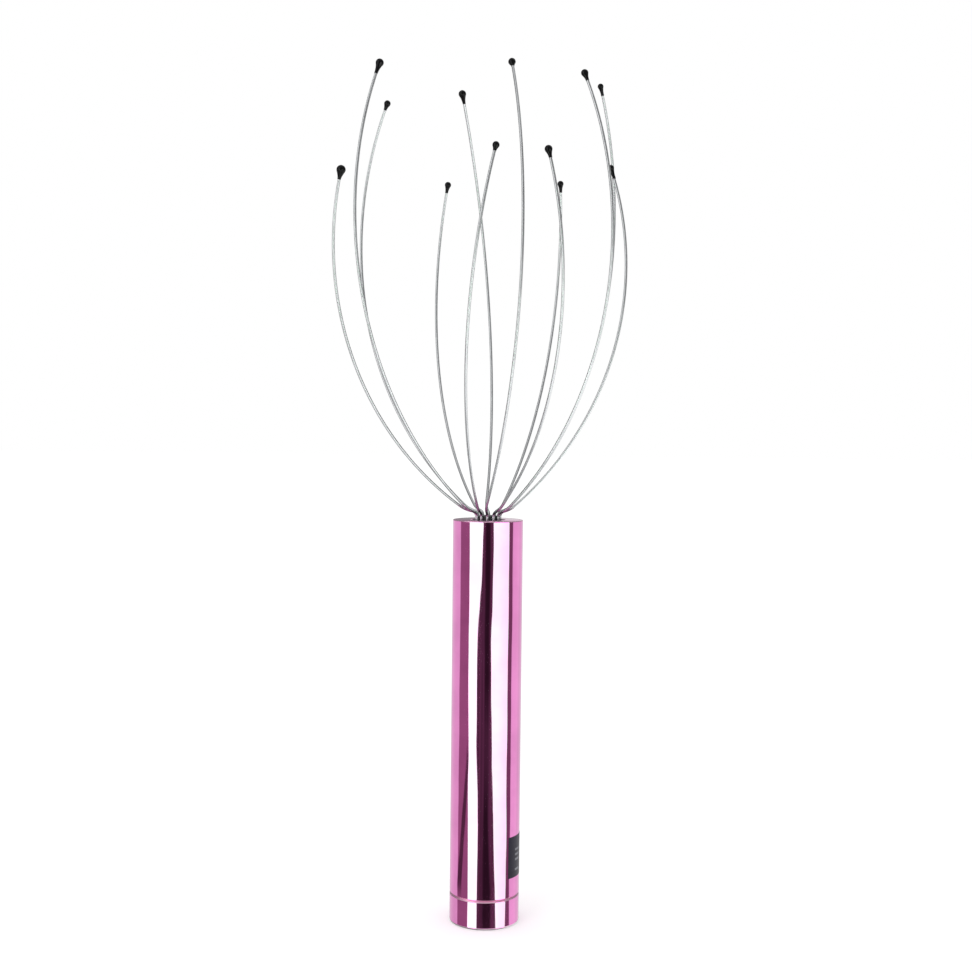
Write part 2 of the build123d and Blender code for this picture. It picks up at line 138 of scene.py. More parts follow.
# ------------------------------------------------------------------ shader nodes


@dataclass(frozen=True)
class Cloud:
    """Cloudy noise: its patches' size in metres, and how they break up and stretch."""

    size: float
    detail: float = 2.0
    roughness: float = 0.5
    squeeze: tuple[float, float, float] | None = None


class NodeKit:
    """Adds and joins the nodes of one node tree."""

    def __init__(self, tree: bpy.types.NodeTree, coordinates: str) -> None:
        """Keeps the tree that the nodes go into.

        Args:
            tree: The node tree.
            coordinates: The texture coordinates that its patterns are read at.
        """
        self.tree = tree
        self.place = self.node("TexCoord").outputs[coordinates]

    def feed(self, socket: Socket, value: Level | Sequence[float]) -> None:
        """Links a socket to another, or sets its value."""
        if isinstance(value, bpy.types.NodeSocket):
            self.tree.links.new(value, socket)
        else:
            socket.default_value = value

    def node(self, kind: str, *values: object, **settings: object) -> bpy.types.Node:
        """Adds a node, sets it up and feeds its inputs in order.

        Args:
            kind: The node's type, without its ShaderNode prefix.
            values: A socket or a value for each input in turn.
            settings: Properties of the node itself.

        Returns:
            The new node.
        """
        made = self.tree.nodes.new("ShaderNode" + kind)
        for name, value in settings.items():
            setattr(made, name, value)
        for socket, value in zip(made.inputs, values):
            self.feed(socket, value)
        return made

    def calc(self, operation: str, *values: Level) -> Socket:
        """Gives the result of one Math operation."""
        return self.node("Math", *values, operation=operation).outputs[0]

    def remap(
        self,
        value: Socket,
        before: tuple[Level, Level],
        after: tuple[Level, Level],
        smooth: bool = False,
    ) -> Socket:
        """Maps one range of values onto another, held at its ends.

        Args:
            value: What is mapped.
            before: The range that it comes from.
            after: The range that it goes to.
            smooth: Whether it eases in and out.

        Returns:
            The mapped value.
        """
        kind = "SMOOTHSTEP" if smooth else "LINEAR"
        return self.node("MapRange", value, *before, *after, interpolation_type=kind).outputs[0]

    def blend(self, share: Socket, first: Level, last: Level) -> Socket:
        """Goes from one value to another as a share goes from 0 to 1."""
        return self.remap(share, (0.0, 1.0), (first, last))

    def shades(self, factor: Socket, stops: Sequence[Stop], kind: str = "EASE") -> Socket:
        """Turns a factor into a colour along a ramp.

        Args:
            factor: Where on the ramp to read, from 0 to 1.
            stops: Each stop's place and colour, in order.
            kind: How the ramp runs between its stops.

        Returns:
            The colour.
        """
        made = self.node("ValToRGB", factor)
        ramp = made.color_ramp
        ramp.interpolation = kind
        while len(ramp.elements) < len(stops):
            ramp.elements.new(1.0)
        for element, (place, colour) in zip(ramp.elements, stops):
            element.position = place
            element.color = (*colour, 1.0)
        return made.outputs[0]

    def noise(self, cloud: Cloud) -> Socket:
        """Gives a cloud's noise, from 0 to 1."""
        place = self.place
        if cloud.squeeze:
            place = self.node("Mapping", place, (0, 0, 0), (0, 0, 0), cloud.squeeze).outputs[0]
        made = self.node("TexNoise")
        self.feed(made.inputs["Vector"], place)
        self.feed(made.inputs["Scale"], 1 / cloud.size)
        self.feed(made.inputs["Detail"], cloud.detail)
        self.feed(made.inputs["Roughness"], cloud.roughness)
        return made.outputs[0]

    def ribs(self, direction: str, width: float, distortion: float = 0.0) -> Socket:
        """Gives even ribs.

        Args:
            direction: The axis that they follow each other along.
            width: From one rib to the next, in metres.
            distortion: How much they waver.

        Returns:
            Their height, from 0 to 1.
        """
        made = self.node("TexWave", self.place, wave_type="BANDS", bands_direction=direction)
        self.feed(made.inputs["Scale"], math.tau / (WAVE_RATE * width))
        self.feed(made.inputs["Distortion"], distortion)
        return made.outputs["Fac"]


class SurfaceKit(NodeKit):
    """The nodes of one surface material, round its principled shader."""

    def __init__(self, name: str) -> None:
        """Makes the material and finds its shader."""
        self.material = bpy.data.materials.new(name)
        self.material.use_nodes = True
        super().__init__(self.material.node_tree, "Object")
        self.shader = self.tree.nodes["Principled BSDF"]

    def set(self, **sockets: object) -> None:
        """Sets or links the shader's own sockets, named with _ for each space."""
        for name, value in sockets.items():
            self.feed(self.shader.inputs[name.replace("_", " ")], value)

    def tinted(self, factor: Socket, colour: Colour, span: Span, tints: Span) -> Socket:
        """Makes a colour lighter or darker with a factor.

        Args:
            factor: What it follows, from 0 to 1.
            colour: The colour.
            span: The two factors that it runs between.
            tints: How bright it is at each, 1 being the colour itself.

        Returns:
            The colour.
        """
        return self.shades(factor, [(place, tint(colour, by)) for place, by in zip(span, tints)])

    def relief(self, *layers: tuple[Socket, float]) -> None:
        """Gives the surface its bumps.

        Args:
            layers: Each layer's height from 0 to 1, and its depth in metres.
        """
        normal = None
        for height, depth in layers:
            bump = self.node("Bump")
            self.feed(bump.inputs["Strength"], 1.0)
            self.feed(bump.inputs["Distance"], depth)
            self.feed(bump.inputs["Height"], height)
            if normal is not None:
                self.feed(bump.inputs["Normal"], normal)
            normal = bump.outputs[0]
        self.feed(self.shader.inputs["Normal"], normal)


def tint(colour: Colour, factor: float) -> Colour:
    """Gives a colour made lighter or darker by a factor."""
    return tuple(min(1.0, channel * factor) for channel in colour)


# ------------------------------------------------------------------ finishes


@dataclass(frozen=True)
class Finish:
    """A finish that can be made into a material.

    In every finish, wear is the stretch of its noise over which its roughness runs,
    and spread the one over which its colour goes from the first tint to the last.
    """

    name: str
    colour: Colour

    def material(self) -> bpy.types.Material:
        """Makes the finish's material."""
        kit = SurfaceKit(self.name)
        self.shade(kit)
        return kit.material

    def shade(self, kit: SurfaceKit) -> None:
        """Builds the finish's nodes; each finish has its own."""
        raise NotImplementedError


@dataclass(frozen=True)
class PolishedPink(Finish):
    """Polished metal anodised pink: a mirror with the slight draw of the tube."""

    roughness: Span = (0.025, 0.055)
    wear: Span = (0.45, 0.8)
    spread: Span = (0.3, 0.7)
    variation: float = 0.07
    smudge: Cloud = Cloud(12 * MM, 4, 0.6)
    grain: Cloud = Cloud(0.09 * MM)
    grain_share: float = 0.25
    draw: Cloud = Cloud(1.6 * MM, 2, 0.4, (1, 1, 0.06))
    draw_depth: float = 0.0045 * MM
    swell: Cloud = Cloud(9 * MM, 1, 0.3, (1, 1, 0.22))
    swell_depth: float = 0.03 * MM

    def shade(self, kit: SurfaceKit) -> None:
        """Builds the mirror, its faint draw lines and its smudges."""
        smudge = kit.noise(self.smudge)
        worn = kit.calc("MULTIPLY_ADD", kit.noise(self.grain), self.grain_share, smudge)
        tints = (1 - self.variation, 1 + self.variation)
        kit.set(
            Base_Color=kit.tinted(smudge, self.colour, self.spread, tints),
            Metallic=1.0,
            Roughness=kit.remap(worn, self.wear, self.roughness),
        )
        swell, draw = kit.noise(self.swell), kit.noise(self.draw)
        kit.relief((swell, self.swell_depth), (draw, self.draw_depth))


@dataclass(frozen=True)
class DrawnSteel(Finish):
    """Hard-drawn spring wire: grey and smooth, drawn a little finer in some stretches."""

    roughness: Span = (0.27, 0.35)
    wear: Span = (0.35, 0.65)
    spread: Span = (0.35, 0.65)
    variation: float = 0.06
    streak: Cloud = Cloud(1.2 * MM, squeeze=(1, 1, 0.12))
    patch: Cloud = Cloud(9 * MM)

    def shade(self, kit: SurfaceKit) -> None:
        """Builds the steel with its soft lengthwise streaks."""
        streak, patch = kit.noise(self.streak), kit.noise(self.patch)
        mean = kit.calc("MULTIPLY_ADD", streak, 0.5, kit.calc("MULTIPLY", patch, 0.5))
        tints = (1 - self.variation, 1 + self.variation)
        kit.set(
            Base_Color=kit.tinted(mean, self.colour, self.spread, tints),
            Metallic=1.0,
            Roughness=kit.remap(patch, self.wear, self.roughness),
        )


@dataclass(frozen=True)
class GlossResin(Finish):
    """A dipped drop of black resin, a little uneven as it set."""

    roughness: Span = (0.07, 0.14)
    wear: Span = (0.4, 0.75)
    spread: Span = (0.45, 0.8)
    dust_tint: float = 2.2
    gloss: float = 0.14
    lump: Cloud = Cloud(1.2 * MM, 2, 0.4)
    lump_depth: float = 0.03 * MM
    dust: Cloud = Cloud(0.12 * MM, 3, 0.7)

    def shade(self, kit: SurfaceKit) -> None:
        """Builds the resin with its soft lumps and a trace of dust."""
        dust = kit.noise(self.dust)
        kit.set(
            Base_Color=kit.tinted(dust, self.colour, self.spread, (1.0, self.dust_tint)),
            Roughness=kit.remap(dust, self.wear, self.roughness),
            Specular_IOR_Level=self.gloss,
        )
        kit.relief((kit.noise(self.lump), self.lump_depth))


@dataclass(frozen=True)
class Moulding(Finish):
    """Moulded plastic with a fine eroded grain and a slight flow of colour."""

    roughness: Span = (0.38, 0.52)
    wear: Span = (0.35, 0.65)
    spread: Span = (0.3, 0.7)
    variation: float = 0.12
    grain: Cloud = Cloud(0.16 * MM, 3, 0.6)
    grain_depth: float = 0.012 * MM
    flow: Cloud = Cloud(7 * MM, 3, 0.55)

    def shade(self, kit: SurfaceKit) -> None:
        """Builds the grained plastic."""
        grain, flow = kit.noise(self.grain), kit.noise(self.flow)
        tints = (1 - self.variation, 1 + self.variation)
        kit.set(
            Base_Color=kit.tinted(flow, self.colour, self.spread, tints),
            Roughness=kit.remap(grain, self.wear, self.roughness),
        )
        kit.relief((grain, self.grain_depth))


@dataclass(frozen=True)
class PlatedMetal(Finish):
    """Plated or bright metal with fine scratches and a cloudy tarnish."""

    roughness: Span = (0.18, 0.34)
    wear: Span = (0.35, 0.7)
    spread: Span = (0.3, 0.65)
    variation: float = 0.16
    scratch: Cloud = Cloud(0.3 * MM, 4, 0.7, (1, 1, 6))
    scratch_depth: float = 0.003 * MM
    tarnish: Cloud = Cloud(3 * MM, 4, 0.6)

    def shade(self, kit: SurfaceKit) -> None:
        """Builds the plated metal."""
        scratch, tarnish = kit.noise(self.scratch), kit.noise(self.tarnish)
        tints = (1 - self.variation, 1 + self.variation / 2)
        kit.set(
            Base_Color=kit.tinted(tarnish, self.colour, self.spread, tints),
            Metallic=1.0,
            Roughness=kit.remap(scratch, self.wear, self.roughness),
        )
        kit.relief((scratch, self.scratch_depth))


@dataclass(frozen=True)
class WoundCopper(Finish):
    """Enamelled copper wire, wound in close turns."""

    roughness: Span = (0.5, 0.26)
    wear: Span = (0.0, 1.0)
    spread: Span = (0.1, 0.7)
    gap_shade: float = 0.45
    turn: float = 0.22 * MM
    turn_depth: float = 0.06 * MM
    unevenness: float = 0.6

    def shade(self, kit: SurfaceKit) -> None:
        """Builds the turns as ribs along the coil, with painted shade darkening the gaps between
        them.
        """
        height = kit.ribs("Z", self.turn, self.unevenness)
        # The colour darkens where the ribs are low: painted shade in the gaps between turns.
        kit.set(
            Base_Color=kit.tinted(height, self.colour, self.spread, (self.gap_shade, 1.0)),
            Metallic=0.85,
            Roughness=kit.remap(height, self.wear, self.roughness),
        )
        kit.relief((height, self.turn_depth))


@dataclass(frozen=True)
class SinteredFerrite(Finish):
    """Ground ferrite: dark, dull and slightly porous."""

    roughness: Span = (0.75, 0.5)
    wear: Span = (0.3, 0.7)
    spread: Span = (0.35, 0.6)
    pore_shade: float = 0.5
    pore: Cloud = Cloud(0.2 * MM, 5, 0.75)
    pore_depth: float = 0.02 * MM

    def shade(self, kit: SurfaceKit) -> None:
        """Builds the porous ferrite, with painted shade darkening its pores."""
        pore = kit.noise(self.pore)
        # The colour darkens where the bump is low: painted shade in the pores.
        kit.set(
            Base_Color=kit.tinted(pore, self.colour, self.spread, (self.pore_shade, 1.0)),
            Metallic=0.3,
            Roughness=kit.remap(pore, self.wear, self.roughness),
        )
        kit.relief((pore, self.pore_depth))


@dataclass(frozen=True)
class GlassBoard(Finish):
    """Green circuit board with the glass weave showing through the lacquer."""

    roughness: Span = (0.22, 0.32)
    wear: Span = (0.0, 1.0)
    spread: Span = (0.0, 1.0)
    tints: Span = (0.75, 1.3)
    weave: float = 0.6 * MM
    weave_depth: float = 0.006 * MM

    def shade(self, kit: SurfaceKit) -> None:
        """Builds the weave from two crossed sets of threads."""
        cloth = kit.calc("MULTIPLY", kit.ribs("X", self.weave), kit.ribs("Y", self.weave))
        kit.set(
            Base_Color=kit.tinted(cloth, self.colour, self.spread, self.tints),
            Roughness=kit.remap(cloth, self.wear, self.roughness),
            Coat_Weight=0.4,
            Coat_Roughness=0.15,
        )
        kit.relief((cloth, self.weave_depth))


@dataclass(frozen=True)
class SoftSkin(Finish):
    """Rubber or lead insulation: smooth, slightly dusty, with a soft sheen."""

    roughness: Span = (0.4, 0.6)
    wear: Span = (0.3, 0.7)
    spread: Span = (0.35, 0.8)
    bloom_tint: float = 1.5
    bloom: Cloud = Cloud(1.5 * MM, 4, 0.65)
    grain: Cloud = Cloud(0.15 * MM)
    grain_depth: float = 0.008 * MM

    def shade(self, kit: SurfaceKit) -> None:
        """Builds the soft skin with its bloom."""
        bloom = kit.noise(self.bloom)
        kit.set(
            Base_Color=kit.tinted(bloom, self.colour, self.spread, (1.0, self.bloom_tint)),
            Roughness=kit.remap(bloom, self.wear, self.roughness),
            Sheen_Weight=0.15,
            Sheen_Roughness=0.5,
        )
        kit.relief((kit.noise(self.grain), self.grain_depth))


@dataclass(frozen=True)
class CellWrap(Finish):
    """The cell's shrink wrap: plain dark film with a copper-coloured shoulder."""

    roughness: Span = (0.16, 0.3)
    wear: Span = (0.3, 0.7)
    shoulder: Colour = (0.62, 0.30, 0.12)
    shoulder_height: float = 51 * MM
    shoulder_shine: float = 0.9
    blend: float = 0.25 * MM
    cling: Cloud = Cloud(1.2 * MM, 3, 0.5, (1, 1, 0.15))
    cling_depth: float = 0.01 * MM

    def shade(self, kit: SurfaceKit) -> None:
        """Builds the two fields and the film's slight cling."""
        height = kit.node("SeparateXYZ", kit.place).outputs[2]
        edge = (self.shoulder_height - self.blend, self.shoulder_height + self.blend)
        upper = kit.remap(height, edge, (0.0, 1.0))
        cling = kit.noise(self.cling)
        kit.set(
            Base_Color=kit.shades(upper, [(0.0, self.colour), (1.0, self.shoulder)], "LINEAR"),
            Metallic=kit.blend(upper, 0.0, self.shoulder_shine),
            Roughness=kit.remap(cling, self.wear, self.roughness),
            Coat_Weight=0.6,
            Coat_Roughness=0.08,
        )
        kit.relief((cling, self.cling_depth))


@dataclass(frozen=True)
class LabelFilm(Finish):
    """Printed film: satin, with a faint print screen."""

    roughness: Span = (0.28, 0.4)
    wear: Span = (0.3, 0.7)
    spread: Span = (0.3, 0.75)
    tints: Span = (0.85, 1.2)
    gloss: float = 0.16
    screen: Cloud = Cloud(0.1 * MM)
    screen_depth: float = 0.002 * MM
    rub: Cloud = Cloud(4 * MM, 4, 0.6)

    def shade(self, kit: SurfaceKit) -> None:
        """Builds the film."""
        screen, rub = kit.noise(self.screen), kit.noise(self.rub)
        kit.set(
            Base_Color=kit.tinted(rub, self.colour, self.spread, self.tints),
            Roughness=kit.remap(screen, self.wear, self.roughness),
            Specular_IOR_Level=self.gloss,
        )
        kit.relief((screen, self.screen_depth))


FINISHES: dict[Slot, Finish] = {
    Slot.ANODISED_PINK: PolishedPink("polished_pink", (0.82, 0.28, 0.61)),
    Slot.SPRING_STEEL: DrawnSteel("drawn_spring_steel", (0.50, 0.51, 0.52)),
    Slot.DROP_BLACK: GlossResin("gloss_black_resin", (0.0025, 0.0025, 0.003)),
    Slot.HUB_BLACK: Moulding("satin_black_moulding", (0.04, 0.039, 0.043)),
    Slot.INNER_WHITE: Moulding(
        "natural_moulding", (0.78, 0.77, 0.73), (0.45, 0.6), variation=0.04
    ),
    Slot.MOTOR_STEEL: PlatedMetal("nickel_plated_steel", (0.62, 0.61, 0.58)),
    Slot.MAGNET_GREY: SinteredFerrite("sintered_ferrite", (0.11, 0.11, 0.12)),
    Slot.CONTACT_BRASS: PlatedMetal("bright_brass", (0.79, 0.56, 0.23), (0.16, 0.3)),
    Slot.COPPER_WIRE: WoundCopper("enamelled_copper", (0.72, 0.30, 0.13)),
    Slot.BOARD_GREEN: GlassBoard("glass_board", (0.03, 0.19, 0.07)),
    Slot.LEAD_RED: SoftSkin("red_insulation", (0.50, 0.02, 0.02), (0.35, 0.5)),
    Slot.LEAD_BLACK: SoftSkin("black_insulation", (0.018, 0.018, 0.018), (0.35, 0.5)),
    Slot.CELL_METAL: PlatedMetal(
        "cell_can",
        (0.72, 0.71, 0.69),
        (0.22, 0.4),
        scratch=Cloud(0.3 * MM, 4, 0.7, (1, 1, 0.3)),
    ),
    Slot.CELL_JACKET: CellWrap("cell_wrap", (0.018, 0.020, 0.026)),
    Slot.SEAL_RUBBER: SoftSkin("nitrile_ring", (0.02, 0.02, 0.02), (0.5, 0.68)),
    Slot.BUTTON_BLACK: Moulding("button_moulding", (0.028, 0.028, 0.032), (0.42, 0.58)),
    Slot.SWITCH_BLACK: Moulding("switch_moulding", (0.045, 0.045, 0.047), (0.34, 0.48)),
}
LABEL_SLATE = LabelFilm("slate_film", (0.016, 0.013, 0.027))
LABEL_PRINT = LabelFilm("pale_print", (0.20, 0.20, 0.23), (0.35, 0.5))
CUT_EDGE = PlatedMetal(
    "thinly_anodised_edge", (0.84, 0.52, 0.67), (0.3, 0.42), variation=0.06
)
# The foot edge's dark grey-pink colour is painted shade, where the cap's rounded foot faces down
# towards the floor; its rougher finish stands for scuffing.
SHADED_FOOT_EDGE = PlatedMetal(
    "painted_shade_foot_edge", (0.42, 0.33, 0.38), (0.34, 0.5), variation=0.12
)


# ------------------------------------------------------------------ meshes


class Workshop:
    """Makes materials once, and puts finished meshes into the scene."""

    def __init__(self, frame: dict) -> None:
        """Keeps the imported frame.
        """
        self.frame = frame
        self._materials: dict[str, bpy.types.Material] = {}

    def material(self, finish: Finish) -> bpy.types.Material:
        """Gives a finish's material, made the first time that it is asked for."""
        if finish.name not in self._materials:
            self._materials[finish.name] = finish.material()
        return self._materials[finish.name]

    def place(
        self,
        name: str,
        shape: Shape,
        slot: Slot,
        finish: Finish | None = None,
        edges: Sequence[Finish] = (),
    ) -> bpy.types.Object:
        """Turns a shape into an object of the scene.

        Args:
            name: The piece's name.
            shape: Its mesh, in place; it is freed here.
            slot: The record's slot that it takes its finish from.
            finish: Its finish, where that isn't the slot's own.
            edges: The finishes of the faces that mark_edges() marked, if any.

        Returns:
            The new object, which rides on nothing yet.
        """
        mesh = bpy.data.meshes.new(name)
        shape.to_mesh(mesh)
        shape.free()
        mesh.materials.append(self.material(finish or FINISHES[slot]))
        for edge in edges:
            mesh.materials.append(self.material(edge))
        piece = bpy.data.objects.new(name, mesh)
        bpy.context.scene.collection.objects.link(piece)
        LOG.info("%s: %d faces", name, len(mesh.polygons))
        return piece

    def dress(self, node: str, slot: Slot) -> None:
        """Gives a carried-over node its finish.

        Args:
            node: The node's name.
            slot: The record's slot that it takes its finish from.
        """
        carried = self.frame["nodes"][node]
        carried.material_slots[0].material = self.material(FINISHES[slot])
        LOG.info("%s: dressed in %s", node, slot.value)


def ring_outline(bore: float, radius: float, low: float, high: float) -> list[Span]:
    """Gives the four corners of a plain ring's section."""
    return [(bore, low), (radius, low), (radius, high), (bore, high)]


def turned(outline: Sequence[Span], steps: int, closed: bool = True) -> Shape:
    """Turns an outline about the upright axis with one full spin.

    Args:
        outline: Its corners as radius and height, in order.
        steps: How many facets go round.
        closed: Whether its last corner joins its first; if not, it ends on the axis.

    Returns:
        The turned shape, its faces pointing outwards.
    """
    shape = bmesh.new()
    corners = [shape.verts.new((radius, 0.0, height)) for radius, height in outline]
    followers = corners[1:] + corners[:1] if closed else corners[1:]
    edges = [shape.edges.new(pair) for pair in zip(corners, followers)]
    bmesh.ops.spin(
        shape,
        geom=corners + edges,
        cent=(0, 0, 0),
        axis=(0, 0, 1),
        angle=math.tau,
        steps=steps,
        use_merge=True,
    )
    bmesh.ops.remove_doubles(shape, verts=shape.verts, dist=WELD)
    bmesh.ops.recalc_face_normals(shape, faces=shape.faces)
    return shape


def rim(shape: Shape, radius: float, height: float) -> list[bmesh.types.BMEdge]:
    """Finds the ring of edges at a radius and a height of a turned shape."""
    return [
        edge
        for edge in shape.edges
        if all(
            abs(math.hypot(vert.co.x, vert.co.y) - radius) < RIM_ROOM
            and abs(vert.co.z - height) < RIM_ROOM
            for vert in edge.verts
        )
    ]


def ease_rim(
    shape: Shape, radius: float, height: float, width: float, segments: int = 1
) -> None:
    """Bevels one rim of a turned shape.

    Args:
        shape: The turned shape.
        radius: The rim's radius.
        height: The rim's height.
        width: How far the bevel reaches along each face.
        segments: One makes a chamfer, more make it round.
    """
    bmesh.ops.bevel(
        shape,
        geom=rim(shape, radius, height),
        offset=width,
        offset_type="OFFSET",
        segments=segments,
        profile=0.5,
        affect="EDGES",
        material=-1,
        clamp_overlap=True,
    )


def mark_edges(shape: Shape, radius: float, foot: int = 1) -> None:
    """Marks the outer edges of a turned shape, which have finishes of their own.

    Args:
        shape: The turned shape, bevelled.
        radius: Its outer radius.
        foot: The mark of the edges that face down; those that face up get 1.
    """
    least, most = EDGE_STEEPNESS
    for face in shape.faces:
        centre = face.calc_center_median()
        outer = math.hypot(centre.x, centre.y) > radius - EDGE_REACH
        if outer and least < abs(face.normal.z) < most:
            # Faces that point down take the foot's mark; on the cap that finish is darker, as
            # painted shade.
            face.material_index = 1 if face.normal.z > 0 else foot


def add_rings(shape: Shape, heights: Iterable[float]) -> None:
    """Cuts level rings into a shape, so that its long faces keep their shading."""
    for height in heights:
        geometry = [*shape.verts, *shape.edges, *shape.faces]
        bmesh.ops.bisect_plane(
            shape, geom=geometry, dist=WELD, plane_co=(0, 0, height), plane_no=(0, 0, 1)
        )


def smooth(shape: Shape) -> Shape:
    """Shades a shape smooth except where its faces meet at a sharp angle."""
    for face in shape.faces:
        face.smooth = True
    for edge in shape.edges:
        edge.smooth = not edge.is_manifold or edge.calc_face_angle(0.0) < SHARP_ANGLE
    return shape


def edges_of(items: Iterable[object], boundary: bool = False) -> list[bmesh.types.BMEdge]:
    """Picks the edges out of an operator's result, or only those on a boundary."""
    edges = [item for item in items if isinstance(item, bmesh.types.BMEdge)]
    return [edge for edge in edges if edge.is_boundary or not boundary]


def spaced(start: float, end: float, gap: float) -> list[float]:
    """Gives even steps strictly between two heights, about a gap apart."""
    count = max(1, round((end - start) / gap))
    return [start + (end - start) * step / count for step in range(1, count)]


# ------------------------------------------------------------------ handle


@dataclass
class Handle:
    """The polished tube, the disc that closes its top and the film low on its side."""

    workshop: Workshop
    radius: float = field(init=False, default=0.0)
    tube_bore: float = 9.2 * MM
    ring_gap: float = 4 * MM
    seam_chamfer: float = 0.3 * MM
    top_edge: float = 0.2 * MM
    top_segments: int = 5
    disc_bore: float = 4.6 * MM
    disc_chamfer: float = 0.4 * MM
    disc_edge: float = 0.08 * MM
    disc_segments: int = 2
    film_thickness: float = 0.05 * MM
    film_start: float = 42.5
    film_end: float = 112.0
    film_foot: float = 14.05 * MM
    film_height: float = 11.85 * MM
    film_steps: int = 40
    mark_start: float = 60.0
    mark_end: float = 75.0
    mark_height: float = 0.6 * MM
    mark_lift: float = 0.015 * MM
    mark_heights: tuple[float, ...] = (7.63 * MM, 6.17 * MM, 4.75 * MM, 1.85 * MM)

    def build(self) -> None:
        """Builds the handle's outer pieces."""
        low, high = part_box("handle_tube")
        self.radius = high.x
        self._tube(low.z, high.z)
        self._disc()
        self._film()

    def _tube(self, foot: float, top: float) -> None:
        """Turns the tube, with a chamfer at its seam and a rounded top."""
        shape = turned(ring_outline(self.tube_bore, self.radius, foot, top), ROUND_STEPS)
        ease_rim(shape, self.radius, foot, self.seam_chamfer)
        ease_rim(shape, self.radius, top, self.top_edge, self.top_segments)
        ends = [foot + self.seam_chamfer + RING_ROOM, top - self.top_edge - RING_ROOM]
        add_rings(shape, [ends[0], *spaced(*ends, self.ring_gap), ends[1]])
        mark_edges(shape, self.radius)
        piece = self.workshop.place(
            "tube_skin", smooth(shape), Slot.ANODISED_PINK, edges=[CUT_EDGE]
        )
        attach(piece, "handle")
        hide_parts("handle_tube")

    def _disc(self) -> None:
        """Turns the disc round the wires, with a chamfered bore."""
        low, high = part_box("top_cap")
        shape = turned(ring_outline(self.disc_bore, high.x, low.z, high.z), ROUND_STEPS)
        ease_rim(shape, self.disc_bore, high.z, self.disc_chamfer)
        ease_rim(shape, high.x, high.z, self.disc_edge, self.disc_segments)
        piece = self.workshop.place("top_disc", smooth(shape), Slot.ANODISED_PINK)
        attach(piece, "handle")
        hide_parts("top_cap")

    def _patch(self, angles: Span, heights: Span, radius: float) -> Shape:
        """Makes a thin curved patch that lies on the tube.

        Args:
            angles: Where it starts and ends, in degrees round from the front.
            heights: Its lower and upper edge.
            radius: Its outer face's radius.

        Returns:
            The patch's shape.
        """
        shape = bmesh.new()
        start = math.radians(angles[0] - 90)
        side = Vector((math.cos(start), math.sin(start), 0)) * radius
        ends = [shape.verts.new(side + Vector((0, 0, height))) for height in heights]
        edge = shape.edges.new(ends)
        turn = math.radians(angles[1] - angles[0])
        bmesh.ops.spin(
            shape,
            geom=[*ends, edge],
            cent=(0, 0, 0),
            axis=(0, 0, 1),
            angle=turn,
            steps=self.film_steps,
        )
        bmesh.ops.recalc_face_normals(shape, faces=shape.faces)
        if sum(face.normal.dot(face.calc_center_median()) for face in shape.faces) < 0:
            bmesh.ops.reverse_faces(shape, faces=shape.faces)
        bmesh.ops.solidify(shape, geom=shape.faces, thickness=self.film_thickness)
        bmesh.ops.recalc_face_normals(shape, faces=shape.faces)
        return shape

    def _film(self) -> None:
        """Lays the slate film on the tube, with four plain marks."""
        heights = (self.film_foot, self.film_foot + self.film_height)
        radius = self.radius + self.film_thickness
        film = self._patch((self.film_start, self.film_end), heights, radius)
        piece = self.workshop.place("slate_film", smooth(film), Slot.CELL_JACKET, LABEL_SLATE)
        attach(piece, "handle")
        mark_radius = radius + self.mark_lift
        marks = bmesh.new()
        for height in self.mark_heights:
            foot = self.film_foot + height
            heights = (foot, foot + self.mark_height)
            mark = self._patch((self.mark_start, self.mark_end), heights, mark_radius)
            held = bpy.data.meshes.new("mark")
            mark.to_mesh(held)
            mark.free()
            marks.from_mesh(held)
            bpy.data.meshes.remove(held)
        piece = self.workshop.place("film_marks", smooth(marks), Slot.INNER_WHITE, LABEL_PRINT)
        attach(piece, "handle")


# ------------------------------------------------------------------ end cap


